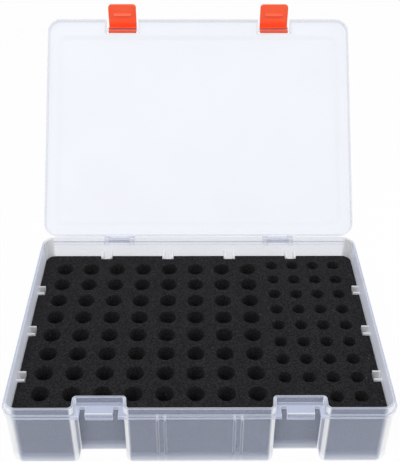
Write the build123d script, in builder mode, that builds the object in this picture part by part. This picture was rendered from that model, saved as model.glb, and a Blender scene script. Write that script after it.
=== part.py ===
from build123d import *
import os

# Battery storage case with a hinged lid, two clip latches and a drilled foam insert.
# Millimetres. The origin is at the centre of the underside: X runs to the right,
# Y to the back, Z up. The lid stands open, with both latches swung part way up.

# Case body, measured over the flange that runs round it below the rim
case_width = 282.0
case_depth = 205.0
case_corner = 12.0
flange_overhang = 1.6
flange_top = 53.6
flange_thickness = 3.1
rim_height = 5.4
wall = 1.8
bottom_round = 4.0

# Recess in the front wall below each latch, and the catch tab that reaches across it
latch_spacing = 143.0
recess_width = 34.8
recess_depth = 11.2
recess_root_round = 1.2
recess_mouth_round = 4.5
strip_width = 3.5
tab_width = 19.6
tab_setback = 2.5
tab_round = 0.8
lip_thickness = 1.6
lip_drop = 3.5

# Divider rails: pairs of upright ribs on the inside of the walls
rib_thickness = 1.5
rail_above_foam = 1.0
back_rail_x = (-83.0, -27.7, 27.7, 83.0)
back_rail_width = 9.0
back_rail_depth = 9.4
front_rail_x = (-27.7, 27.7)
front_rail_width = 7.0
front_rail_depth = 6.0
side_rail_y = (-55.0, -5.0, 45.0)
side_rail_width = 9.6
side_rail_depth = 6.0

# Foam insert on a thin foam base
foam_top = 44.0
foam_clearance = 0.9
foam_back_gap = 5.6
foam_corner = 8.0
rail_clearance = 0.6
pad_thickness = 4.0
aa_bore = 14.0
aa_columns = 8
aa_rows = 8
aa_pitch_x = 23.0
aa_pitch_y = 20.9
aa_centre = (-37.4, 0.7)
aaa_bore = 10.5
aaa_columns = 4
aaa_rows = 9
aaa_pitch_x = 18.2
aaa_pitch_y = 19.3
aaa_centre = (92.0, 1.8)
aaa_front_columns = 2

# Lid, which stands on the flange when it is shut
lid_wall = 1.2
lid_seat_gap = 0.3
lid_headroom = 0.5
lid_edge_round = 1.2
panel_side_inset = 9.0
panel_front_inset = 13.5
panel_back_inset = 10.0
panel_corner = 8.0
panel_rise = 2.4
panel_slope = 4.0
lid_open_angle = 132.5

# Hinge behind the back flange: pins between ears on the body, clips on the lid
hinge_spacing = 144.0
hinge_width = 27.0
hinge_setback = 3.6
hinge_below_flange = 1.0
ear_thickness = 4.0
pin_radius = 1.5
pin_clearance = 0.2
knuckle_radius = 3.0
knuckle_side_gap = 0.4
knuckle_mouth = 2.4
web_height = 5.0
heel_length = 3.5
heel_gap = 0.3

# Latches, each clipped on a bar that crosses a notch in the front of the lid
latch_width = 26.0
latch_thickness = 2.0
latch_reach = 22.0
latch_corner = 3.0
latch_bend = 2.6
latch_open_angle = 48.0
notch_width = 30.0
bar_setback = 9.2
bar_radius = 1.4
bar_clearance = 0.15
clip_thickness = 1.2
clip_mouth = 2.2
clip_gap = 0.35
catch_gap = 0.3
hook_width = 16.0
hook_depth = 1.5
hook_land = 0.6
hook_height = 2.2
edge_rib = 1.2
edge_rib_height = 0.7

# Sizes that follow from those above
wall_width = case_width - 2 * flange_overhang
wall_depth = case_depth - 2 * flange_overhang
wall_corner = case_corner - flange_overhang
wall_front = -wall_depth / 2
rim_top = flange_top + rim_height
flange_bottom = flange_top - flange_thickness
flange_front = -case_depth / 2
recess_root = wall_front + recess_depth
shelf_front = recess_root - strip_width
tab_front = flange_front + tab_setback
latch_x = (-latch_spacing / 2, latch_spacing / 2)
rail_top = foam_top + rail_above_foam
wall_inside_x = wall_width / 2 - wall
wall_inside_y = wall_depth / 2 - wall
rib_bite = wall / 4
pad_top = wall + pad_thickness
hinge_x = (-hinge_spacing / 2, hinge_spacing / 2)
hinge_y = case_depth / 2 + hinge_setback
hinge_z = flange_top - hinge_below_flange
lid_bottom = flange_top + lid_seat_gap
lid_ceiling = rim_top + lid_headroom
lid_top = lid_ceiling + lid_wall
clip_radius = bar_radius + bar_clearance + clip_thickness
bar_y = flange_front + bar_setback
bar_z = lid_top - clip_radius
notch_root = bar_y + clip_radius + clip_gap
same = 0.01


def turn_open(y, z, angle):
    """The turn that swings a part up and back about the axis through y and z."""
    return Pos(0, y, z) * Rot(-angle, 0, 0) * Pos(0, -y, -z)


def swung(plane, turn):
    """The plane after that turn."""
    return Plane(turn * plane.location)


# The lid and the latches are drawn shut, on planes that these turns swing open
lid_turn = turn_open(hinge_y, hinge_z, lid_open_angle)
latch_turn = lid_turn * turn_open(bar_y, bar_z, latch_open_angle)
lid_up = Axis((0, 0, 0), swung(Plane.XY, lid_turn).z_dir)
latch_back = Axis((0, 0, 0), swung(Plane.YZ, latch_turn).x_dir)
latch_up = Axis((0, 0, 0), swung(Plane.YZ, latch_turn).y_dir)


def recess_corners(sketch, y):
    """The corners of the latch recesses that lie on the line at y."""
    reach = recess_width / 2 + same
    corners = sketch.vertices().filter_by_position(Axis.Y, y - same, y + same)
    return [v for v in corners if abs(abs(v.X) - latch_spacing / 2) < reach]


def rail_rows():
    """Each row of rails: its middles on the inner face of the wall, its width and depth."""
    back = [Location((x, wall_inside_y), -90) for x in back_rail_x]
    front = [Location((x, -wall_inside_y), 90) for x in front_rail_x]
    left = [Location((-wall_inside_x, y), 0) for y in side_rail_y]
    right = [Location((wall_inside_x, y), 180) for y in side_rail_y]
    return ((back, back_rail_width, back_rail_depth),
            (front, front_rail_width, front_rail_depth),
            (left + right, side_rail_width, side_rail_depth))


# The outer line of the wall, with a recess in the front for each latch
with BuildSketch() as wall_line:
    RectangleRounded(wall_width, wall_depth, wall_corner)
    with Locations(*[(x, wall_front) for x in latch_x]):
        Rectangle(recess_width, 2 * recess_depth, mode=Mode.SUBTRACT)
    fillet(recess_corners(wall_line, recess_root), recess_root_round)
    fillet(recess_corners(wall_line, wall_front), recess_mouth_round)

# The room that a rail needs in the foam
with BuildSketch() as rail_room:
    for middles, width, depth in rail_rows():
        with Locations(*middles):
            Rectangle(2 * (depth + rail_clearance), width + 2 * rail_clearance)

# A tub with a rounded foot, hollowed from the top
with BuildPart() as case_body:
    add(wall_line.sketch)
    extrude(amount=rim_top)
    fillet(case_body.edges().group_by(Axis.Z)[0], bottom_round)
    offset(amount=-wall, openings=case_body.faces().sort_by(Axis.Z)[-1])

    # Flange with a gap at each recess, and the catch tab with its lip turned down
    with BuildSketch(Plane.XY.offset(flange_bottom)):
        RectangleRounded(case_width, case_depth, case_corner)
        with Locations(*[(x, (flange_front + shelf_front) / 2) for x in latch_x]):
            Rectangle(recess_width - 2 * strip_width, shelf_front - flange_front, mode=Mode.SUBTRACT)
        with Locations(*[(x, (tab_front + recess_root) / 2) for x in latch_x]):
            Rectangle(tab_width, recess_root - tab_front)
        add(offset(wall_line.sketch, amount=-wall / 2, mode=Mode.PRIVATE), mode=Mode.SUBTRACT)
    extrude(amount=flange_thickness)
    with BuildSketch(Plane.XY.offset(flange_bottom)):
        with Locations(*[(x, tab_front + lip_thickness / 2) for x in latch_x]):
            Rectangle(tab_width, lip_thickness)
    extrude(amount=-lip_drop)
    noses = case_body.edges().filter_by(Axis.X)
    noses = noses.filter_by_position(Axis.Y, tab_front - same, tab_front + same)
    fillet(noses.filter_by_position(Axis.Z, flange_top - same, flange_top + same), tab_round)

    # Divider rails, each rib let into the wall by rib_bite
    with BuildSketch(Plane.XY.offset(wall)):
        for middles, width, depth in rail_rows():
            with Locations(*middles):
                with GridLocations(0, width - rib_thickness, 1, 2):
                    with Locations(((depth - rib_bite) / 2, 0)):
                        Rectangle(depth + rib_bite, rib_thickness)
    extrude(amount=rail_top - wall)

    # Hinge ears, each with a heel that the opened lid leans on, and a pin between them
    for x in hinge_x:
        for side in (-1, 1):
            ear_x = x + side * (hinge_width - ear_thickness) / 2
            with BuildSketch(Plane.YZ.offset(ear_x)):
                with Locations((hinge_y, hinge_z)):
                    Circle(knuckle_radius)
                with Locations((hinge_y, flange_top)):
                    Rectangle(hinge_y - wall_depth / 2, knuckle_radius + hinge_below_flange, align=Align.MAX)
            extrude(amount=ear_thickness / 2, both=True)
            with BuildSketch(swung(Plane.YZ.offset(ear_x), lid_turn)):
                with Locations((case_depth / 2 + heel_gap, hinge_z)):
                    Rectangle(hinge_setback - heel_gap, heel_length, align=Align.MIN)
            extrude(amount=ear_thickness / 2, both=True)
        with BuildSketch(Plane.YZ.offset(x)):
            with Locations((hinge_y, hinge_z)):
                Circle(pin_radius)
        extrude(amount=(hinge_width - ear_thickness) / 2, both=True)

# Solid foam sheet on the floor, clear of the rounded foot
with BuildPart() as foam_base_pad:
    with BuildSketch(Plane.XY.offset(wall)):
        add(offset(wall_line.sketch, amount=-bottom_round - rail_clearance, mode=Mode.PRIVATE))
        add(rail_room.sketch, mode=Mode.SUBTRACT)
    extrude(amount=pad_thickness)

# Foam insert drilled through for two sizes of cell
with BuildPart() as foam_insert:
    with BuildSketch(Plane.XY.offset(pad_top)):
        add(offset(wall_line.sketch, amount=-wall - foam_clearance, mode=Mode.PRIVATE))
        with Locations((0, wall_inside_y - foam_back_gap)):
            foam_width = 2 * (wall_inside_x - foam_clearance)
            back_edge = (Align.CENTER, Align.MAX)
            RectangleRounded(foam_width, case_depth, foam_corner, align=back_edge, mode=Mode.INTERSECT)
        add(rail_room.sketch, mode=Mode.SUBTRACT)
        with Locations(aa_centre):
            with GridLocations(aa_pitch_x, aa_pitch_y, aa_columns, aa_rows):
                Circle(aa_bore / 2, mode=Mode.SUBTRACT)
        with Locations(aaa_centre):
            sockets = GridLocations(aaa_pitch_x, aaa_pitch_y, aaa_columns, aaa_rows).locations
        sockets = sorted(sockets, key=lambda place: (place.position.Y, place.position.X))
        with Locations(*sockets[aaa_columns - aaa_front_columns:]):
            Circle(aaa_bore / 2, mode=Mode.SUBTRACT)
    extrude(amount=foam_top - pad_top)

# The outline of the lid's raised panel
panel_width = case_width - 2 * panel_side_inset
panel_depth = case_depth - panel_front_inset - panel_back_inset
panel_y = (panel_front_inset - panel_back_inset) / 2

with BuildPart() as lid:
    # Tray shape with a notch for each latch, its top edge rounded
    with BuildSketch(swung(Plane.XY.offset(lid_bottom), lid_turn)):
        RectangleRounded(case_width, case_depth, case_corner)
        with Locations(*[(x, (flange_front + notch_root) / 2) for x in latch_x]):
            Rectangle(notch_width, notch_root - flange_front, mode=Mode.SUBTRACT)
    extrude(amount=lid_top - lid_bottom)
    fillet(lid.edges().group_by(lid_up)[-1], lid_edge_round)
    with BuildSketch(swung(Plane.XY.offset(lid_bottom), lid_turn)):
        RectangleRounded(case_width - 2 * lid_wall, case_depth - 2 * lid_wall, case_corner - lid_wall)
        with Locations(*[(x, (flange_front + notch_root) / 2) for x in latch_x]):
            Rectangle(notch_width + 2 * lid_wall, notch_root - flange_front, mode=Mode.SUBTRACT)
    extrude(amount=lid_ceiling - lid_bottom, mode=Mode.SUBTRACT)

    # Raised panel, solid first and then hollowed from inside
    for base, mode in ((lid_top, Mode.ADD), (lid_ceiling, Mode.SUBTRACT)):
        for rise, inset in ((0, 0), (panel_rise, panel_slope)):
            with BuildSketch(swung(Plane.XY.offset(base + rise), lid_turn)):
                with Locations((0, panel_y)):
                    RectangleRounded(panel_width - 2 * inset, panel_depth - 2 * inset, panel_corner - inset)
        loft(ruled=True, mode=mode)

    # A bar across each notch for the latch to clip on
    for x in latch_x:
        with BuildSketch(swung(Plane.YZ.offset(x), lid_turn)):
            with Locations((bar_y, bar_z)):
                Circle(bar_radius)
        extrude(amount=(notch_width + lid_wall) / 2, both=True)

    # Hinge clips on webs behind the back wall
    for x in hinge_x:
        with BuildSketch(swung(Plane.YZ.offset(x), lid_turn)):
            with BuildLine():
                web_root = (case_depth - lid_wall) / 2
                Polyline((web_root, lid_bottom), (web_root, lid_bottom + web_height),
                         (hinge_y + knuckle_radius / 2, hinge_z + knuckle_radius * 3 / 4),
                         (hinge_y, hinge_z), (hinge_y - knuckle_radius / 2, lid_bottom), close=True)
            make_face()
            with Locations((hinge_y, hinge_z)):
                Circle(knuckle_radius)
                Circle(pin_radius + pin_clearance, mode=Mode.SUBTRACT)
                below = (Align.CENTER, Align.MAX)
                Rectangle(knuckle_mouth, knuckle_radius, align=below, mode=Mode.SUBTRACT)
        extrude(amount=hinge_width / 2 - ear_thickness - knuckle_side_gap, both=True)


def make_latch(x):
    """A latch that is clipped on the bar at x and hooks under the lip of the catch tab."""
    inner = tab_front - catch_gap
    outer = inner - latch_thickness
    foot = bar_z - latch_reach
    hook_top = flange_bottom - lip_drop - catch_gap
    with BuildPart() as latch:
        # Bent plate, rounded at the bend and at the free corners
        with BuildSketch(swung(Plane.YZ.offset(x), latch_turn)):
            with BuildLine():
                FilletPolyline((bar_y, lid_top), (outer, lid_top), (outer, foot), radius=latch_bend)
                Polyline((outer, foot), (inner, foot), (inner, lid_top - latch_thickness),
                         (bar_y, lid_top - latch_thickness), (bar_y, lid_top))
            make_face()
        extrude(amount=latch_width / 2, both=True)
        fillet(latch.edges().filter_by(latch_back).sort_by(latch_up)[:2], latch_corner)

        # Raised rib along both sides, and the hook
        with BuildSketch(swung(Plane.YZ.offset(x), latch_turn)):
            with Locations((inner, foot + latch_corner)):
                Rectangle(edge_rib_height, hook_top - foot - latch_corner, align=Align.MIN)
        extrude(amount=latch_width / 2, both=True)
        with BuildSketch(swung(Plane.YZ.offset(x), latch_turn)):
            with Locations((inner, foot + latch_corner)):
                Rectangle(edge_rib_height, hook_top - foot - latch_corner, align=Align.MIN)
        extrude(amount=latch_width / 2 - edge_rib, both=True, mode=Mode.SUBTRACT)
        with BuildSketch(swung(Plane.YZ.offset(x), latch_turn)):
            with BuildLine():
                Polyline((inner, hook_top), (inner + hook_depth, hook_top),
                         (inner + hook_depth, hook_top - hook_land),
                         (inner, hook_top - hook_height), close=True)
            make_face()
        extrude(amount=hook_width / 2, both=True)

        # Clip with its mouth turned to the inside of the open lid
        with BuildSketch(swung(Plane.YZ.offset(x), latch_turn)):
            with Locations((bar_y, bar_z)):
                Circle(clip_radius)
        extrude(amount=latch_width / 2, both=True)
        with BuildSketch(swung(Plane.YZ.offset(x), latch_turn)):
            with Locations((bar_y, bar_z)):
                Circle(bar_radius + bar_clearance)
            with Locations(Location((bar_y, bar_z), latch_open_angle)):
                Rectangle(clip_mouth, clip_radius, align=(Align.CENTER, Align.MAX))
        extrude(amount=latch_width / 2, both=True, mode=Mode.SUBTRACT)
    return latch.part


os.makedirs("parts", exist_ok=True)
pieces = {
    "case_body": case_body.part,
    "foam_base_pad": foam_base_pad.part,
    "foam_insert": foam_insert.part,
    "lid": lid.part,
    "latch_left": make_latch(latch_x[0]),
    "latch_right": make_latch(latch_x[1]),
}
for name, piece in pieces.items():
    piece.label = name
    export_step(piece, f"parts/{name}.step")
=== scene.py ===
"""Dresses a battery storage case: frosted tub and lid, orange clip latches and drilled black foam."""

import math

import bmesh
import bpy
from bpy.props import FloatProperty, FloatVectorProperty, IntProperty, PointerProperty
from mathutils import Matrix, Vector, geometry, noise


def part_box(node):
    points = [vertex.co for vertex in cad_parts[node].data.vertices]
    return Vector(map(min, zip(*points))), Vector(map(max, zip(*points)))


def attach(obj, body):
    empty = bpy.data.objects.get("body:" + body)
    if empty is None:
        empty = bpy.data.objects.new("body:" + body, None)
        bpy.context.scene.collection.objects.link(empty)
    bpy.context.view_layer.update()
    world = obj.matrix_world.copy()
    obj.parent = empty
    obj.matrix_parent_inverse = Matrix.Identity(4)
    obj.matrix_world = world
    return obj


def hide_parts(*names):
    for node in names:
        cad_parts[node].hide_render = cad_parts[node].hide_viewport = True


bl_info = {
    "name": "Battery Storage Case",
    "version": (1, 0, 0),
    "blender": (4, 5, 0),
    "location": "3D View > Sidebar > Battery Case",
    "description": "Finishes for a frosted storage case with a drilled foam insert",
    "category": "Object",
}

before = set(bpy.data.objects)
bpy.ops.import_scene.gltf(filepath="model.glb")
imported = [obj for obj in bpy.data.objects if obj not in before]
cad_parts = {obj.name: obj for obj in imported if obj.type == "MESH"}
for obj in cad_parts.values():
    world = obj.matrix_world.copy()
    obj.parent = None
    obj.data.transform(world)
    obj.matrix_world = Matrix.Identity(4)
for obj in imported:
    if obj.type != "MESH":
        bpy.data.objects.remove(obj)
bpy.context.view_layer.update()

# Lengths are in metres.

# The divider rails of the tub: how far inside the flange's edge they stand, how far back the
# recesses reach, how high the floor is, how far off the middle the space between the recesses
# reaches, and where the middle of a front rail is
RAILS_INSIDE_FLANGE = 0.0037
RECESS_REACH = 0.0165
FLOOR_TOP = 0.003
BETWEEN_RECESSES = 0.045
FRONT_RAIL_X = 0.0277

# The two ribs of each front rail: how far off its middle, how wide they glow, and how high
FRONT_RIB_X = 0.00275
RIB_GLOW_REACH = 0.0016
RIB_TOP = 0.045

# Where a mask begins and where it is full. For an edge it is how well the rounded direction
# agrees with the drawn one, for a bend the largest part of the direction along one axis, and
# for a ledge its upward part.
EDGE_BEGINS, EDGE_FULL = 0.98, 0.75
BEND_BEGINS, BEND_FULL = 0.995, 0.9
LEDGE_BEGINS, LEDGE_FULL = 0.9, 0.99
FOOT_FADE_POWER = 2.0

# The places where the tub is milkier, and those of them that are also drawn whiter as painted light: at the
# foot it stands in for light from the white floor shining up through the plastic, at the bends and rails
# for light carried inside the plastic
TUB_PLACES = ("Foot", "Bend", "Ledge", "Rail", "Band")
PAINTED_LIGHT_PLACES = ("Foot", "Bend", "Rail")

# The stretches of a noise or a distance that a mask or a height is made of
CLOUD_RANGE = (0.3, 0.7)
GRAIN_RANGE = (0.2, 0.8)
WEB_RANGE = (0.15, 0.62)
GRIT_RANGE = (0.32, 0.68)
LINT_RANGE = (0.05, 0.025)

# Moulded plastic: the depth and strength of its grain, how much smoother and rougher the
# grain makes it, how much its clouds lighten it, and how late its haze thickens as a wall
# turns away
PLASTIC_IOR = 1.49
GRAIN_DEPTH = 0.0001
FROSTED_GRAIN_STRENGTH = 0.03
LATCH_GRAIN_STRENGTH = 0.15
GRAIN_SMOOTHS = 0.06
FROSTED_GRAIN_ROUGHENS = 0.08
LATCH_GRAIN_ROUGHENS = 0.1
CLOUD_LIGHTENS = 1.08
HAZE_TURN_POWER = 2.2
LATCH_GRAIN_SIZE = 0.0006
LATCH_EDGE_RADIUS = 0.0004

# Foam, as read from its solid: corners nearer than this are one, and an outline is a socket
# when its points are equally far from its middle within this share
SAME_POINT = 2e-5
ROUND_WITHIN = 1.05

# Foam, as it is cut: its underside lies clear of what carries it, its rounded rims have
# steps at these angles in degrees, and its cut faces have steps at these shares of their
# height, with this share of the unevenness
FOAM_LIFT = 0.0001
RIM_STEPS = (0, 30, 60, 90)
WAIST_STEPS = (0.3, 0.65)
WAIST_UNEVENNESS = 0.4

# The foam's surface wanders by a noise of this many steps per metre. A socket's radius
# wanders by another, with steps per socket and per metre of depth.
WANDER_STEPS = 22
SLACK_STEPS_PER_SOCKET = 3.7
SLACK_STEPS_PER_METRE = 40
SLACK_UNEVENNESS = 0.6

# The flat faces of the foam have points this far apart, and this far from the sockets, and
# are filled and joined to the cut faces within these distances
FACE_STEP = 0.007
CLEAR_OF_SOCKETS = 0.002
FILL_TOLERANCE = 1e-7
JOIN_DISTANCE = 1e-6

# The foam's skin: how much its clouds lighten it, and its roughness on the web and in a pore
FOAM_LIGHTENS = 1.25
FOAM_ROUGHNESS = (0.86, 1.0)

# Stage
FLOOR_SIZE = 8
FLOOR_DROP = 0.0002
FLOOR_ROUGHNESS = (0.75, 0.85)
FILL_LAMP_SHARE = 0.4
LAMPS_AIM_AT = Vector((0, 0.05, 0.05))
WHITE = (1, 1, 1, 1)


class FrostedPlasticSettings(bpy.types.PropertyGroup):
    """Clear frosted plastic of the tub and the lid."""

    tint: FloatVectorProperty(
        name="Tint",
        description="Colour of the milky haze in the clear plastic",
        subtype="COLOR",
        size=3,
        min=0,
        max=1,
        default=(0.62, 0.675, 0.85),
    )
    tub_haze: FloatProperty(
        name="Tub haze",
        description="How much one face of the tub hides when it is seen square on",
        subtype="FACTOR",
        min=0,
        max=1,
        default=0.185,
    )
    lid_haze: FloatProperty(
        name="Lid haze",
        description="How much one face of the lid hides when it is seen square on",
        subtype="FACTOR",
        min=0,
        max=1,
        default=0.17,
    )
    tub_edge_haze: FloatProperty(
        name="Tub edge haze",
        description="How much a face of the tub hides when it is seen edge on",
        subtype="FACTOR",
        min=0,
        max=1,
        default=0.72,
    )
    lid_edge_haze: FloatProperty(
        name="Lid edge haze",
        description="How much a face of the lid hides when it is seen edge on",
        subtype="FACTOR",
        min=0,
        max=1,
        default=0.5,
    )
    foot_haze: FloatProperty(
        name="Foot haze",
        description="How much more the tub hides down at its foot",
        subtype="FACTOR",
        min=0,
        max=1,
        default=0.85,
    )
    rail_haze: FloatProperty(
        name="Rail haze",
        description="How much more a divider rail hides than the wall",
        subtype="FACTOR",
        min=0,
        max=1,
        default=0.2,
    )
    band_haze: FloatProperty(
        name="Band haze",
        description="How much more the front wall hides where a rib stands behind it",
        subtype="FACTOR",
        min=0,
        max=1,
        default=0.08,
    )
    foot_height: FloatProperty(
        name="Foot height",
        description="Height at which the haze of the foot has run out",
        unit="LENGTH",
        subtype="DISTANCE",
        min=0,
        default=0.014,
    )
    bend_haze: FloatProperty(
        name="Bend haze",
        description="How much more a rounded corner of the tub hides than a flat face",
        subtype="FACTOR",
        min=0,
        max=1,
        default=0.5,
    )
    tub_corner_haze: FloatProperty(
        name="Tub corner haze",
        description="How much more a sharp edge of the tub hides than a flat face",
        subtype="FACTOR",
        min=0,
        max=1,
        default=0.5,
    )
    lid_corner_haze: FloatProperty(
        name="Lid corner haze",
        description="How much more a sharp edge of the lid hides than a flat face",
        subtype="FACTOR",
        min=0,
        max=1,
        default=0.15,
    )
    ledge_haze: FloatProperty(
        name="Ledge haze",
        description="How much more a face of the tub that looks up hides than an upright one",
        subtype="FACTOR",
        min=0,
        max=1,
        default=0.2,
    )
    # Painted light: the whiter tint that the foot, bends, rails and sharp edges are drawn in stands in for
    # light shining through and along the plastic
    painted_light_tint: FloatVectorProperty(
        name="Bend tint",
        description="Colour of the haze at the foot, the bends, the rails and the sharp edges",
        subtype="COLOR",
        size=3,
        min=0,
        max=1,
        default=(0.93, 0.935, 0.95),
    )
    roughness: FloatProperty(
        name="Roughness",
        description="Roughness of the moulded surface",
        subtype="FACTOR",
        min=0,
        max=1,
        default=0.38,
    )
    edge_radius: FloatProperty(
        name="Edge radius",
        description="Rounding that the light sees on moulded edges",
        unit="LENGTH",
        subtype="DISTANCE",
        min=0,
        default=0.0009,
    )
    grain_size: FloatProperty(
        name="Grain size",
        description="Size of the spark-eroded grain of the mould",
        unit="LENGTH",
        subtype="DISTANCE",
        min=0.0001,
        default=0.0009,
    )


class LatchPlasticSettings(bpy.types.PropertyGroup):
    """Coloured plastic of the two latches."""

    colour: FloatVectorProperty(
        name="Colour",
        description="Colour of the latch plastic",
        subtype="COLOR",
        size=3,
        min=0,
        max=1,
        default=(1.0, 0.112, 0.032),
    )
    # Lighter colour that the latch is drawn in along its edges, in cloudy patches
    edge_patch_colour: FloatVectorProperty(
        name="Worn colour",
        description="Colour of the latch plastic along rubbed edges",
        subtype="COLOR",
        size=3,
        min=0,
        max=1,
        default=(1.0, 0.2, 0.09),
    )
    roughness: FloatProperty(
        name="Roughness",
        description="Roughness of the latch plastic",
        subtype="FACTOR",
        min=0,
        max=1,
        default=0.36,
    )


class FoamSettings(bpy.types.PropertyGroup):
    """Black foam insert with its sockets, and the pad below it."""

    colour: FloatVectorProperty(
        name="Colour",
        description="Colour of the foam between its pores",
        subtype="COLOR",
        size=3,
        min=0,
        max=1,
        default=(0.026, 0.026, 0.028),
    )
    # Painted shade: the pores are drawn darker, standing in for the shade that falls into them
    pore_shade_colour: FloatVectorProperty(
        name="Pore colour",
        description="Colour down in the pores",
        subtype="COLOR",
        size=3,
        min=0,
        max=1,
        default=(0.004, 0.004, 0.005),
    )
    pore_size: FloatProperty(
        name="Pore size",
        description="Size of the larger pores of the foam",
        unit="LENGTH",
        subtype="DISTANCE",
        min=0.0001,
        default=0.0017,
    )
    lint_colour: FloatVectorProperty(
        name="Lint colour",
        description="Colour of the few specks of dust on the foam",
        subtype="COLOR",
        size=3,
        min=0,
        max=1,
        default=(0.13, 0.13, 0.14),
    )
    rim_round: FloatProperty(
        name="Rim rounding",
        description="Radius of the foam's cut edges",
        unit="LENGTH",
        subtype="DISTANCE",
        min=0.0001,
        default=0.0007,
    )
    unevenness: FloatProperty(
        name="Unevenness",
        description="How far the foam's surface wanders from flat",
        unit="LENGTH",
        subtype="DISTANCE",
        min=0,
        default=0.00025,
    )
    socket_sides: IntProperty(
        name="Socket sides",
        description="Number of flats round each socket",
        min=12,
        default=32,
    )


class StageSettings(bpy.types.PropertyGroup):
    """Camera, lamps and floor."""

    camera_place: FloatVectorProperty(
        name="Camera place",
        description="Where the camera stands",
        unit="LENGTH",
        subtype="TRANSLATION",
        size=3,
        default=(-0.003542, -0.483058, 0.493173),
    )
    camera_pitch: FloatProperty(
        name="Camera pitch",
        description="How far the camera looks down from level",
        unit="ROTATION",
        subtype="ANGLE",
        default=math.radians(36.176),
    )
    camera_yaw: FloatProperty(
        name="Camera yaw",
        description="How far the camera turns left from straight ahead",
        unit="ROTATION",
        subtype="ANGLE",
        default=math.radians(-0.468),
    )
    camera_roll: FloatProperty(
        name="Camera roll",
        description="How far the camera leans about its own line of sight",
        unit="ROTATION",
        subtype="ANGLE",
        default=math.radians(0.213),
    )
    lens: FloatProperty(
        name="Lens",
        description="Focal length in millimetres on a 36 mm sensor",
        min=1,
        default=62.902,
    )
    floor_colour: FloatVectorProperty(
        name="Floor colour",
        description="Colour of the floor",
        subtype="COLOR",
        size=3,
        min=0,
        max=1,
        default=(0.95, 0.95, 0.95),
    )
    floor_glow: FloatProperty(
        name="Floor glow",
        description="Share of the floor's picture that is plain white, and not its lit colour",
        subtype="FACTOR",
        min=0,
        max=1,
        default=0.95,
    )
    sky_strength: FloatProperty(
        name="Sky strength",
        description="Strength of the even light from all round",
        min=0,
        default=0.52,
    )
    lamp_power: FloatProperty(
        name="Lamp power",
        description="Power of the large soft lamp above the front",
        unit="POWER",
        min=0,
        default=12.5,
    )


def settings():
    """The values of the battery case, as the panel shows them."""
    return bpy.context.scene.battery_case


# Building blocks for node trees


def add_node(tree, kind, place, options=None, **inputs):
    """A new node, with its options set and its inputs given a value or joined to a socket."""
    made = tree.nodes.new(kind)
    made.location = place
    for name, value in (options or {}).items():
        setattr(made, name, value)
    set_inputs(tree, made, **inputs)
    return made


def set_inputs(tree, node, **inputs):
    """Gives inputs of a node a value, or joins them to a socket."""
    for name, value in inputs.items():
        fill(tree, node.inputs[name.replace("_", " ")], value)


def fill(tree, socket, value):
    """Gives one socket a value, or joins it to another socket."""
    if isinstance(value, bpy.types.NodeSocket):
        tree.links.new(value, socket)
    elif socket.type == "RGBA" and len(value) == 3:
        socket.default_value = (*value, 1)
    else:
        socket.default_value = value


def calculate(tree, operation, place, *values, clamp=False):
    """The result of a Math node on these values or sockets."""
    made = add_node(tree, "ShaderNodeMath", place, {"operation": operation, "use_clamp": clamp})
    for socket, value in zip(made.inputs, values):
        fill(tree, socket, value)
    return made.outputs[0]


def mix_colours(tree, place, share, first, second):
    """The first colour, turned into the second by share."""
    made = add_node(tree, "ShaderNodeMix", place, {"data_type": "RGBA"})
    share_in, first_in, second_in = made.inputs[0], made.inputs[6], made.inputs[7]
    for socket, value in ((share_in, share), (first_in, first), (second_in, second)):
        fill(tree, socket, value)
    return made.outputs[2]


def map_range(tree, place, value, low, high, to_low=0.0, to_high=1.0):
    """The value, stretched from low and high to to_low and to_high, and held there past them."""
    limits = {"From_Min": low, "From_Max": high, "To_Min": to_low, "To_Max": to_high}
    return add_node(tree, "ShaderNodeMapRange", place, None, Value=value, **limits).outputs[0]


def new_group(name, takes, gives):
    """An empty shader group with named sockets, its input node and its output node."""
    tree = bpy.data.node_groups.new(name, "ShaderNodeTree")
    for socket_name, kind, default in takes:
        socket = tree.interface.new_socket(socket_name, in_out="INPUT", socket_type=kind)
        socket.default_value = default
    for socket_name, kind in gives:
        tree.interface.new_socket(socket_name, in_out="OUTPUT", socket_type=kind)
    given = add_node(tree, "NodeGroupInput", (-900, 0))
    out = add_node(tree, "NodeGroupOutput", (600, 0))
    return tree, given, out


def add_group(tree, name, place, **inputs):
    """A group node in a material. The group is built the first time that it is asked for."""
    made = tree.nodes.new("ShaderNodeGroup")
    made.node_tree = bpy.data.node_groups.get(name) or GROUPS[name]()
    made.location = place
    set_inputs(tree, made, **inputs)
    return made


def scaled_place(tree, size, place):
    """The point on the object, counted in steps of size."""
    there = add_node(tree, "ShaderNodeTexCoord", (place[0] - 400, place[1]))
    steps = calculate(tree, "DIVIDE", (place[0] - 200, place[1] - 160), 1.0, size)
    made = add_node(tree, "ShaderNodeVectorMath", place, {"operation": "SCALE"}, Scale=steps)
    tree.links.new(there.outputs["Object"], made.inputs[0])
    return made.outputs[0]


# Effects that more than one finish uses


def build_mould_grain():
    """Fine grain that a spark-eroded mould leaves, with slow clouding of the plastic."""
    tree, given, out = new_group(
        "mould_grain",
        [("Size", "NodeSocketFloat", 0.001)],
        [("Height", "NodeSocketFloat"), ("Cloud", "NodeSocketFloat")],
    )
    fine = scaled_place(tree, given.outputs["Size"], (-300, 200))
    grain = add_node(tree, "ShaderNodeTexNoise", (-80, 200), None, Vector=fine, Scale=1.0, Detail=3.0)
    slow = add_node(tree, "ShaderNodeTexNoise", (-80, -200), None, Vector=fine, Scale=0.02, Detail=2.0)
    tree.links.new(grain.outputs[0], out.inputs["Height"])
    cloud = map_range(tree, (200, -200), slow.outputs[0], *CLOUD_RANGE)
    tree.links.new(cloud, out.inputs["Cloud"])
    return tree


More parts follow.
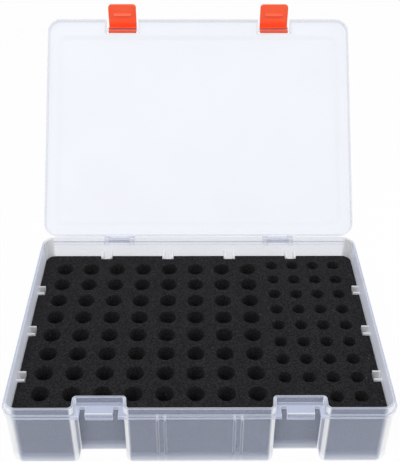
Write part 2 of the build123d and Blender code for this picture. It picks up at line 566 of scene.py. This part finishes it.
def build_moulded_edge():
    """Rounded normal and edge mask of a moulded part whose edges are drawn sharp."""
    tree, given, out = new_group(
        "moulded_edge",
        [("Radius", "NodeSocketFloat", 0.0005)],
        [("Normal", "NodeSocketVector"), ("Edge", "NodeSocketFloat")],
    )
    bevel = add_node(tree, "ShaderNodeBevel", (-500, 100), {"samples": 8}, Radius=given.outputs["Radius"])
    flat = add_node(tree, "ShaderNodeNewGeometry", (-500, -150))
    turn = add_node(tree, "ShaderNodeVectorMath", (-250, 0), {"operation": "DOT_PRODUCT"})
    tree.links.new(bevel.outputs[0], turn.inputs[0])
    tree.links.new(flat.outputs["Normal"], turn.inputs[1])
    tree.links.new(bevel.outputs[0], out.inputs["Normal"])
    edge = map_range(tree, (0, 0), turn.outputs["Value"], EDGE_BEGINS, EDGE_FULL)
    tree.links.new(edge, out.inputs["Edge"])
    return tree


def build_tub_places():
    """Masks for the places where the tub is milkier: foot, bends, ledges, rails and front ribs."""
    tree, given, out = new_group(
        "tub_places",
        [("Foot", "NodeSocketFloat", 0.02)],
        [(name, "NodeSocketFloat") for name in TUB_PLACES],
    )
    place = add_node(tree, "ShaderNodeTexCoord", (-900, 300))
    axes = add_node(tree, "ShaderNodeSeparateXYZ", (-700, 300))
    tree.links.new(place.outputs["Object"], axes.inputs[0])
    share = calculate(tree, "DIVIDE", (-500, 400), axes.outputs["Z"], given.outputs["Foot"])
    left = calculate(tree, "SUBTRACT", (-300, 400), 1.0, share, clamp=True)
    tree.links.new(calculate(tree, "POWER", (-100, 400), left, FOOT_FADE_POWER), out.inputs["Foot"])

    # Bends face between the main directions, and ledges face up
    faces = add_node(tree, "ShaderNodeSeparateXYZ", (-700, 900))
    tree.links.new(place.outputs["Normal"], faces.inputs[0])
    sizes = [calculate(tree, "ABSOLUTE", (-500, 1000 - 150 * i), faces.outputs[i]) for i in range(3)]
    most = calculate(tree, "MAXIMUM", (-300, 900), sizes[0], sizes[1])
    most = calculate(tree, "MAXIMUM", (-100, 850), most, sizes[2])
    bend = map_range(tree, (100, 850), most, BEND_BEGINS, BEND_FULL)
    ledge = map_range(tree, (100, 650), faces.outputs["Z"], LEDGE_BEGINS, LEDGE_FULL)
    tree.links.new(bend, out.inputs["Bend"])
    tree.links.new(ledge, out.inputs["Ledge"])

    # Rails are what stands inside the walls above the floor, at the front only between the recesses
    low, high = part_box("case_body")
    flange_edge = Vector((high.x, -low.y, 0))
    inside = []
    for axis, row in (("X", 0), ("Y", 1)):
        size = calculate(tree, "ABSOLUTE", (-500, 200 - 300 * row), axes.outputs[axis])
        limit = flange_edge[row] - RAILS_INSIDE_FLANGE
        inside.append(calculate(tree, "LESS_THAN", (-300, 200 - 300 * row), size, limit))
    wide = calculate(tree, "ABSOLUTE", (-500, -700), axes.outputs["X"])
    behind = calculate(tree, "GREATER_THAN", (-300, -500), axes.outputs["Y"], low.y + RECESS_REACH)
    between = calculate(tree, "LESS_THAN", (-300, -700), wide, BETWEEN_RECESSES)
    inside.append(calculate(tree, "MAXIMUM", (-100, -600), behind, between))
    inside.append(calculate(tree, "GREATER_THAN", (-300, -200), axes.outputs["Z"], FLOOR_TOP))
    rail = inside[0]
    for row, mask in enumerate(inside[1:]):
        rail = calculate(tree, "MULTIPLY", (-100 + 150 * row, 0), rail, mask)
    tree.links.new(rail, out.inputs["Rail"])

    # The two ribs of each front rail show through the front wall as soft bands
    away = wide
    for step, middle in enumerate((FRONT_RAIL_X, FRONT_RIB_X)):
        away = calculate(tree, "SUBTRACT", (-400 + 250 * step, -900), away, middle)
        away = calculate(tree, "ABSOLUTE", (-300 + 300 * step, -900), away)
    band = map_range(tree, (150, -900), away, RIB_GLOW_REACH, 0.0)
    front = calculate(tree, "LESS_THAN", (0, -1100), axes.outputs["Y"], low.y + RAILS_INSIDE_FLANGE)
    under = calculate(tree, "LESS_THAN", (0, -1250), axes.outputs["Z"], RIB_TOP)
    on_ribs = calculate(tree, "MULTIPLY", (150, -1150), front, under)
    tree.links.new(calculate(tree, "MULTIPLY", (300, -1000), band, on_ribs), out.inputs["Band"])
    return tree


def build_foam_pores():
    """Open pores of two sizes in cut foam, with slow clouding and a few specks of lint."""
    tree, given, out = new_group(
        "foam_pores",
        [("Size", "NodeSocketFloat", 0.0012)],
        [(name, "NodeSocketFloat") for name in ("Height", "Pore", "Cloud", "Lint")],
    )
    steps = scaled_place(tree, given.outputs["Size"], (-500, 100))
    cells = add_node(tree, "ShaderNodeTexVoronoi", (-250, 300), None, Vector=steps, Scale=1.0)
    fine = add_node(tree, "ShaderNodeTexNoise", (-250, 0), None, Vector=steps, Scale=2.3, Detail=4.0)
    slow = add_node(tree, "ShaderNodeTexNoise", (-250, -300), None, Vector=steps, Scale=0.06, Detail=2.0)
    specks = add_node(tree, "ShaderNodeTexVoronoi", (-250, -600), None, Vector=steps, Scale=0.16)
    web = map_range(tree, (0, 300), cells.outputs["Distance"], *WEB_RANGE)
    grit = map_range(tree, (0, 0), fine.outputs[0], *GRIT_RANGE)
    height = calculate(tree, "MULTIPLY", (220, 160), web, grit)
    gives = {
        "Height": height,
        "Pore": calculate(tree, "SUBTRACT", (400, 60), 1.0, height, clamp=True),
        "Cloud": map_range(tree, (0, -300), slow.outputs[0], *CLOUD_RANGE),
        "Lint": map_range(tree, (0, -600), specks.outputs["Distance"], *LINT_RANGE),
    }
    set_inputs(tree, out, **gives)
    return tree


GROUPS = {
    "mould_grain": build_mould_grain,
    "moulded_edge": build_moulded_edge,
    "tub_places": build_tub_places,
    "foam_pores": build_foam_pores,
}


# Finishes


def new_material(name):
    """A material, its tree, and its shader joined to the output."""
    material = bpy.data.materials.new(name)
    material.use_nodes = True
    tree = material.node_tree
    tree.nodes.clear()
    output = add_node(tree, "ShaderNodeOutputMaterial", (900, 0))
    shader = add_node(tree, "ShaderNodeBsdfPrincipled", (600, 0))
    tree.links.new(shader.outputs[0], output.inputs["Surface"])
    return material, tree, shader


def moulded_surface(tree, grain_size, edge_radius, grain_strength):
    """The grain and the edges of a moulded part, and the normal that both give."""
    grain = add_group(tree, "mould_grain", (-600, -200), Size=grain_size)
    edge = add_group(tree, "moulded_edge", (-600, 100), Radius=edge_radius)
    bump = add_node(
        tree,
        "ShaderNodeBump",
        (250, -250),
        None,
        Strength=grain_strength,
        Distance=GRAIN_DEPTH,
        Height=grain.outputs["Height"],
        Normal=edge.outputs["Normal"],
    )
    return grain, edge, bump.outputs[0]


def grained_roughness(tree, grain, roughness, roughens):
    """Roughness that follows the grain of the mould."""
    limits = (roughness - GRAIN_SMOOTHS, roughness + roughens)
    return map_range(tree, (-180, -120), grain.outputs["Height"], *GRAIN_RANGE, *limits)


def frosted_plastic(name, haze, edge_haze, corner_haze, place_hazes):
    """Thin clear plastic with a milky haze that thickens where the wall turns away. Its sharp edges, and
    the tub's foot, bends and rails, are drawn in a whiter tint as painted light.

    place_hazes says how much more each of the tub's places hides. The lid has none.
    """
    look = settings().frosted
    material, tree, shader = new_material(name)
    grain, edge, normal = moulded_surface(tree, look.grain_size, look.edge_radius, FROSTED_GRAIN_STRENGTH)
    rounded = edge.outputs["Normal"]
    turned = add_node(tree, "ShaderNodeLayerWeight", (-600, 350), None, Blend=0.5, Normal=rounded)
    slant = calculate(tree, "POWER", (-380, 350), turned.outputs["Facing"], HAZE_TURN_POWER)
    alpha = map_range(tree, (-180, 350), slant, 0.0, 1.0, haze, edge_haze)
    # Painted light: sharp edges are drawn in the whiter tint, standing in for bright lines of light along
    # them
    painted_light_mask = edge.outputs["Edge"]
    alpha = calculate(tree, "MULTIPLY_ADD", (20, 300), painted_light_mask, corner_haze, alpha, clamp=True)
    if place_hazes:
        places = add_group(tree, "tub_places", (-600, 600), Foot=look.foot_height)
        for step, mask in enumerate(TUB_PLACES):
            here, more = (200 + 180 * step, 500), place_hazes[mask]
            alpha = calculate(tree, "MULTIPLY_ADD", here, places.outputs[mask], more, alpha, clamp=True)
        # Painted light: the foot, bends and rails are drawn in the whiter tint too
        for step, mask in enumerate(PAINTED_LIGHT_PLACES):
            painted_light_mask = calculate(tree, "MAXIMUM", (-300 + 150 * step, 0), painted_light_mask, places.outputs[mask])
    pale = tuple(min(1.0, CLOUD_LIGHTENS * part) for part in look.tint)
    colour = mix_colours(tree, (-180, 120), grain.outputs["Cloud"], look.tint, pale)
    colour = mix_colours(tree, (20, 120), painted_light_mask, colour, look.painted_light_tint)
    roughness = grained_roughness(tree, grain, look.roughness, FROSTED_GRAIN_ROUGHENS)
    set_inputs(tree, shader, Base_Color=colour, Alpha=alpha, Roughness=roughness)
    set_inputs(tree, shader, Normal=normal, IOR=PLASTIC_IOR)
    return material


def latch_plastic():
    """Bright moulded plastic with soft gloss, drawn lighter in cloudy patches along its edges."""
    look = settings().latch
    material, tree, shader = new_material("latch_plastic")
    grain, edge, normal = moulded_surface(tree, LATCH_GRAIN_SIZE, LATCH_EDGE_RADIUS, LATCH_GRAIN_STRENGTH)
    lightened = calculate(tree, "MULTIPLY", (-350, 200), edge.outputs["Edge"], grain.outputs["Cloud"])
    colour = mix_colours(tree, (-100, 150), lightened, look.colour, look.edge_patch_colour)
    roughness = grained_roughness(tree, grain, look.roughness, LATCH_GRAIN_ROUGHENS)
    set_inputs(tree, shader, Base_Color=colour, Roughness=roughness, Normal=normal, IOR=PLASTIC_IOR)
    set_inputs(tree, shader, Subsurface_Weight=0.25, Subsurface_Scale=0.002)
    set_inputs(tree, shader, Subsurface_Radius=(1.0, 0.25, 0.1))
    return material


def cut_foam(name, pore_size):
    """Black open-cell foam, matt, with painted shade that draws its pores darker."""
    look = settings().foam
    material, tree, shader = new_material(name)
    pores = add_group(tree, "foam_pores", (-600, 0), Size=pore_size)
    pale = tuple(FOAM_LIGHTENS * part for part in look.colour)
    skin = mix_colours(tree, (-350, 200), pores.outputs["Cloud"], look.colour, pale)
    # Painted shade: the pores are darkened toward the pore shade colour
    colour = mix_colours(tree, (-100, 150), pores.outputs["Pore"], skin, look.pore_shade_colour)
    colour = mix_colours(tree, (100, 150), pores.outputs["Lint"], colour, look.lint_colour)
    roughness = map_range(tree, (-100, -100), pores.outputs["Pore"], 0.0, 1.0, *FOAM_ROUGHNESS)
    height = pores.outputs["Height"]
    bump = add_node(tree, "ShaderNodeBump", (250, -250), None, Strength=0.7, Distance=0.0005, Height=height)
    set_inputs(tree, shader, Base_Color=colour, Roughness=roughness, Normal=bump.outputs[0])
    set_inputs(tree, shader, Specular_IOR_Level=0.12, Sheen_Weight=0.02, Sheen_Roughness=0.6)
    return material


def seen_itself(tree, place):
    """A mask of the rays that show a thing itself, straight or by way of gloss or glass."""
    path = add_node(tree, "ShaderNodeLightPath", place)
    seen = path.outputs["Is Camera Ray"]
    for step, kind in enumerate(("Is Glossy Ray", "Is Transmission Ray")):
        here = (place[0] + 200 * (step + 1), place[1])
        seen = calculate(tree, "MAXIMUM", here, seen, path.outputs[kind])
    return seen


def blend_shaders(tree, place, share, first, second):
    """The first shader, turned into the second by share."""
    made = add_node(tree, "ShaderNodeMixShader", place, None, Fac=share)
    tree.links.new(first.outputs[0], made.inputs[1])
    tree.links.new(second.outputs[0], made.inputs[2])
    return made.outputs[0]


def floor_material():
    """Pale floor that shows as white to the camera and still takes a soft shadow."""
    look = settings().stage
    material, tree, shader = new_material("studio_floor")
    mottle = add_node(tree, "ShaderNodeTexNoise", (0, -200), None, Scale=30.0, Detail=2.0)
    roughness = map_range(tree, (300, -200), mottle.outputs[0], *CLOUD_RANGE, *FLOOR_ROUGHNESS)
    set_inputs(tree, shader, Base_Color=look.floor_colour, Roughness=roughness)
    share = calculate(tree, "MULTIPLY", (600, 400), seen_itself(tree, (0, 400)), look.floor_glow)
    white = add_node(tree, "ShaderNodeEmission", (600, 200), None, Strength=1.0)
    blend = blend_shaders(tree, (900, 200), share, shader, white)
    tree.links.new(blend, tree.nodes["Material Output"].inputs["Surface"])
    return material


# Foam shapes


def rim_loops(node):
    """Closed outlines round the flat top of a block, as lists of points seen from above.

    The edges are kept in the order of the mesh, so that every run finds the same outlines.
    """
    mesh = bmesh.new()
    mesh.from_mesh(node.data)
    bmesh.ops.remove_doubles(mesh, verts=mesh.verts, dist=SAME_POINT)
    top = max(v.co.z for v in mesh.verts)
    flat = {f for f in mesh.faces if all(top - v.co.z < SAME_POINT for v in f.verts)}
    rim = dict.fromkeys(e for e in mesh.edges if sum(f in flat for f in e.link_faces) == 1)
    loops = []
    while rim:
        last, _ = rim.popitem()
        here = last.verts[0]
        loop = [here.co.xy]
        while edge := next((e for e in here.link_edges if e in rim), None):
            del rim[edge]
            here = edge.other_vert(here)
            loop.append(here.co.xy)
        loops.append(loop)
    mesh.free()
    return loops


def turned_left(loop):
    """The loop, in the order that keeps its inside on the left."""
    area = sum(a.cross(b) for a, b in zip(loop, loop[1:] + loop[:1]))
    return loop if area > 0 else loop[::-1]


def moved_inward(loop, distance):
    """The loop with each side moved to its left by distance."""
    moved = []
    for before, here, after in zip(loop[-1:] + loop[:-1], loop, loop[1:] + loop[:1]):
        first = (here - before).normalized().orthogonal()
        second = (after - here).normalized().orthogonal()
        moved.append(here + distance * (first + second) / (1 + first.dot(second)))
    return moved


def circle(centre, radius, sides):
    """Points round a circle, as seen from above."""
    turn = 2 * math.pi / sides
    return [centre + radius * Vector((math.cos(i * turn), math.sin(i * turn))) for i in range(sides)]


def outline_and_sockets(node):
    """The outline of a block of foam, and the centre and radius of each socket in it."""
    outline, sockets = None, []
    for loop in rim_loops(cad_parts[node]):
        centre = sum(loop, Vector((0, 0))) / len(loop)
        reach = [(point - centre).length for point in loop]
        if max(reach) < ROUND_WITHIN * min(reach):
            sockets.append((centre, max(reach)))
        else:
            outline = turned_left(loop)
    return outline, sockets


def cut_profile(top, bottom, rim_round):
    """Steps down a cut face: how far in each lies, its height, and its share of the unevenness."""
    turns = [math.radians(angle) for angle in RIM_STEPS]
    for turn in turns:
        yield rim_round * (1 - math.sin(turn)), top - rim_round * (1 - math.cos(turn)), 1.0
    for share in WAIST_STEPS:
        yield 0.0, top - rim_round - share * (top - bottom - 2 * rim_round), WAIST_UNEVENNESS
    for turn in reversed(turns):
        yield rim_round * (1 - math.sin(turn)), bottom + rim_round * (1 - math.cos(turn)), 0.0


def foam_block(name, node, rim_round, unevenness, sides):
    """A block of foam on the node's outline, with rounded cut edges and slightly uneven faces."""
    low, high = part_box(node)
    low.z += FOAM_LIFT
    outline, sockets = outline_and_sockets(node)

    def wandered(point, height, share):
        """The point, moved a little up or down."""
        place = Vector((point.x, point.y, height))
        shift = noise.noise(place * WANDER_STEPS) * unevenness * share
        return Vector((point.x, point.y, height + shift))

    mesh = bmesh.new()
    rings = []
    for offset, height, share in cut_profile(high.z, low.z, rim_round):
        loops = [moved_inward(outline, offset)]
        for index, (centre, radius) in enumerate(sockets):
            steps = Vector((index * SLACK_STEPS_PER_SOCKET, height * SLACK_STEPS_PER_METRE, 0))
            slack = noise.noise(steps) * unevenness * SLACK_UNEVENNESS
            loops.append(circle(centre, radius + offset + slack, sides))
        rings.append([[mesh.verts.new(wandered(p, height, share)) for p in loop] for loop in loops])
    for above, below in zip(rings, rings[1:]):
        for upper, lower in zip(above, below):
            for i in range(len(upper)):
                j = (i + 1) % len(upper)
                mesh.faces.new((upper[j], upper[i], lower[i], lower[j]))
    for ring, share in ((rings[0], 1.0), (rings[-1], 0.0)):
        close_face(mesh, ring, wandered, share, sockets)
    bmesh.ops.remove_doubles(mesh, verts=mesh.verts, dist=JOIN_DISTANCE)
    bmesh.ops.recalc_face_normals(mesh, faces=mesh.faces)
    for face in mesh.faces:
        face.smooth = True
    data = bpy.data.meshes.new(name)
    mesh.to_mesh(data)
    mesh.free()
    piece = bpy.data.objects.new(name, data)
    bpy.context.scene.collection.objects.link(piece)
    return piece


def close_face(mesh, ring, wandered, share, sockets):
    """Fills the face that these loops bound, round the sockets, with small triangles."""
    height = sum(v.co.z for v in ring[0]) / len(ring[0])
    points, edges = [], []
    for loop in ring:
        first = len(points)
        points += [v.co.xy for v in loop]
        edges += [(first + i, first + (i + 1) % len(loop)) for i in range(len(loop))]
    columns = int(max(abs(v.co.x) for v in ring[0]) / FACE_STEP)
    rows = int(max(abs(v.co.y) for v in ring[0]) / FACE_STEP)
    for i in range(-columns, columns + 1):
        for j in range(-rows, rows + 1):
            point = Vector((FACE_STEP * i, FACE_STEP * j))
            if all((point - centre).length > radius + CLEAR_OF_SOCKETS for centre, radius in sockets):
                points.append(point)
    outline = list(range(len(ring[0])))
    found, _, triangles, *_ = geometry.delaunay_2d_cdt(points, edges, [outline], 1, FILL_TOLERANCE)
    made = {}
    for triangle in triangles:
        middle = sum((found[i] for i in triangle), Vector((0, 0))) / 3
        if any((middle - centre).length < radius for centre, radius in sockets):
            continue
        for i in triangle:
            if i not in made:
                made[i] = mesh.verts.new(wandered(found[i], height, share))
        mesh.faces.new([made[i] for i in triangle])


# Steps of the making, each with its operator


def look_over(node, material):
    """Gives a CAD node its finish."""
    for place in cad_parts[node].material_slots:
        place.link = "OBJECT"
        place.material = material


class BATTERYCASE_OT_tub(bpy.types.Operator):
    """Finish the tub in frosted plastic"""

    bl_idname = "battery_case.tub"
    bl_label = "Finish the Tub"

    def execute(self, context):
        look = settings().frosted
        place_hazes = {place: getattr(look, place.lower() + "_haze") for place in TUB_PLACES}
        hazes = (look.tub_haze, look.tub_edge_haze, look.tub_corner_haze)
        look_over("case_body", frosted_plastic("frosted_tub", *hazes, place_hazes))
        return {"FINISHED"}


class BATTERYCASE_OT_lid(bpy.types.Operator):
    """Finish the lid in thinner frosted plastic"""

    bl_idname = "battery_case.lid"
    bl_label = "Finish the Lid"

    def execute(self, context):
        look = settings().frosted
        hazes = (look.lid_haze, look.lid_edge_haze, look.lid_corner_haze)
        look_over("lid", frosted_plastic("frosted_lid", *hazes, None))
        return {"FINISHED"}


class BATTERYCASE_OT_latches(bpy.types.Operator):
    """Finish both latches in coloured plastic"""

    bl_idname = "battery_case.latches"
    bl_label = "Finish the Latches"

    def execute(self, context):
        material = latch_plastic()
        for node in ("latch_left", "latch_right"):
            look_over(node, material)
        return {"FINISHED"}


class BATTERYCASE_OT_foam(bpy.types.Operator):
    """Make the drilled foam insert and the pad below it"""

    bl_idname = "battery_case.foam"
    bl_label = "Make the Foam"

    def execute(self, context):
        look = settings().foam
        for node, pore_size in (("foam_insert", look.pore_size), ("foam_base_pad", look.pore_size / 2)):
            name = node + "_cut"
            piece = foam_block(name, node, look.rim_round, look.unevenness, look.socket_sides)
            piece.data.materials.append(cut_foam(name, pore_size))
            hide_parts(node)
            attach(piece, "case")
        return {"FINISHED"}


def add_camera(scene, look):
    """The camera at the photograph's place: turned left, tipped down, then leaned."""
    turn_cos, turn_sin = math.cos(look.camera_yaw), math.sin(look.camera_yaw)
    tip_cos, tip_sin = math.cos(look.camera_pitch), math.sin(look.camera_pitch)
    lean_cos, lean_sin = math.cos(look.camera_roll), math.sin(look.camera_roll)
    level = Vector((turn_cos, turn_sin, 0))
    ahead = Vector((-turn_sin * tip_cos, turn_cos * tip_cos, -tip_sin))
    upright = Vector((-turn_sin * tip_sin, turn_cos * tip_sin, tip_cos))
    right = lean_cos * level + lean_sin * upright
    up = -lean_sin * level + lean_cos * upright
    turn = Matrix((right, up, -ahead)).transposed().to_4x4()
    camera = bpy.data.objects.new("camera", bpy.data.cameras.new("camera"))
    camera.data.lens = look.lens
    camera.data.clip_start = 0.01
    camera.matrix_world = Matrix.Translation(look.camera_place) @ turn
    scene.collection.objects.link(camera)
    scene.camera = camera


def add_floor():
    """The floor, just under the case's underside."""
    bpy.ops.mesh.primitive_plane_add(size=FLOOR_SIZE)
    floor = bpy.context.object
    floor.name = "floor"
    floor.location.z = -FLOOR_DROP
    floor.data.materials.append(floor_material())


def add_lamps(scene, look):
    """A large soft lamp above the front, and a weaker one from the right."""
    for name, place, size, power in (
        ("key_lamp", (-0.5, -0.8, 1.4), 1.2, look.lamp_power),
        ("fill_lamp", (0.9, -0.3, 1.0), 1.0, look.lamp_power * FILL_LAMP_SHARE),
    ):
        lamp = bpy.data.objects.new(name, bpy.data.lights.new(name, "AREA"))
        lamp.data.size = size
        lamp.data.energy = power
        lamp.location = place
        lamp.rotation_euler = (LAMPS_AIM_AT - lamp.location).to_track_quat("-Z", "Y").to_euler()
        scene.collection.objects.link(lamp)


def add_sky(scene, look):
    """Even light from all round, which shows as white itself."""
    world = bpy.data.worlds.new("studio")
    world.use_nodes = True
    scene.world = world
    tree = world.node_tree
    tree.nodes.clear()
    seen = seen_itself(tree, (-400, 300))
    light, white = (
        add_node(tree, "ShaderNodeBackground", place, None, Color=WHITE, Strength=strength)
        for place, strength in (((0, 100), look.sky_strength), ((0, -100), 1.0))
    )
    blend = blend_shaders(tree, (200, 100), seen, light, white)
    add_node(tree, "ShaderNodeOutputWorld", (400, 100), None, Surface=blend)


class BATTERYCASE_OT_stage(bpy.types.Operator):
    """Set up the camera, the floor, the lamps and the sky"""

    bl_idname = "battery_case.stage"
    bl_label = "Set Up the Stage"

    def execute(self, context):
        look = settings().stage
        context.scene.view_settings.view_transform = "Standard"
        add_camera(context.scene, look)
        add_floor()
        add_lamps(context.scene, look)
        add_sky(context.scene, look)
        return {"FINISHED"}


class BATTERYCASE_PT_panel(bpy.types.Panel):
    """Sizes, colours and steps of the battery case"""

    bl_label = "Battery Case"
    bl_idname = "BATTERYCASE_PT_panel"
    bl_space_type = "VIEW_3D"
    bl_region_type = "UI"
    bl_category = "Battery Case"

    def draw(self, context):
        for group, steps in PARTS.items():
            box = self.layout.box()
            values = getattr(context.scene.battery_case, group)
            for name in values.__annotations__:
                box.prop(values, name)
            for step in steps:
                box.operator(step.bl_idname)


class BatteryCaseSettings(bpy.types.PropertyGroup):
    """All settings of the battery case."""

    frosted: PointerProperty(type=FrostedPlasticSettings)
    latch: PointerProperty(type=LatchPlasticSettings)
    foam: PointerProperty(type=FoamSettings)
    stage: PointerProperty(type=StageSettings)


PARTS = {
    "stage": (BATTERYCASE_OT_stage,),
    "frosted": (BATTERYCASE_OT_tub, BATTERYCASE_OT_lid),
    "latch": (BATTERYCASE_OT_latches,),
    "foam": (BATTERYCASE_OT_foam,),
}
CLASSES = (
    FrostedPlasticSettings,
    LatchPlasticSettings,
    FoamSettings,
    StageSettings,
    BatteryCaseSettings,
    BATTERYCASE_OT_stage,
    BATTERYCASE_OT_tub,
    BATTERYCASE_OT_lid,
    BATTERYCASE_OT_latches,
    BATTERYCASE_OT_foam,
    BATTERYCASE_PT_panel,
)


def register():
    for kind in CLASSES:
        bpy.utils.register_class(kind)
    bpy.types.Scene.battery_case = PointerProperty(type=BatteryCaseSettings)


def unregister():
    del bpy.types.Scene.battery_case
    for kind in reversed(CLASSES):
        bpy.utils.unregister_class(kind)


def main():
    register()
    bpy.ops.battery_case.stage()
    bpy.ops.battery_case.tub()
    bpy.ops.battery_case.lid()
    bpy.ops.battery_case.latches()
    bpy.ops.battery_case.foam()


if __name__ == "__main__":
    main()
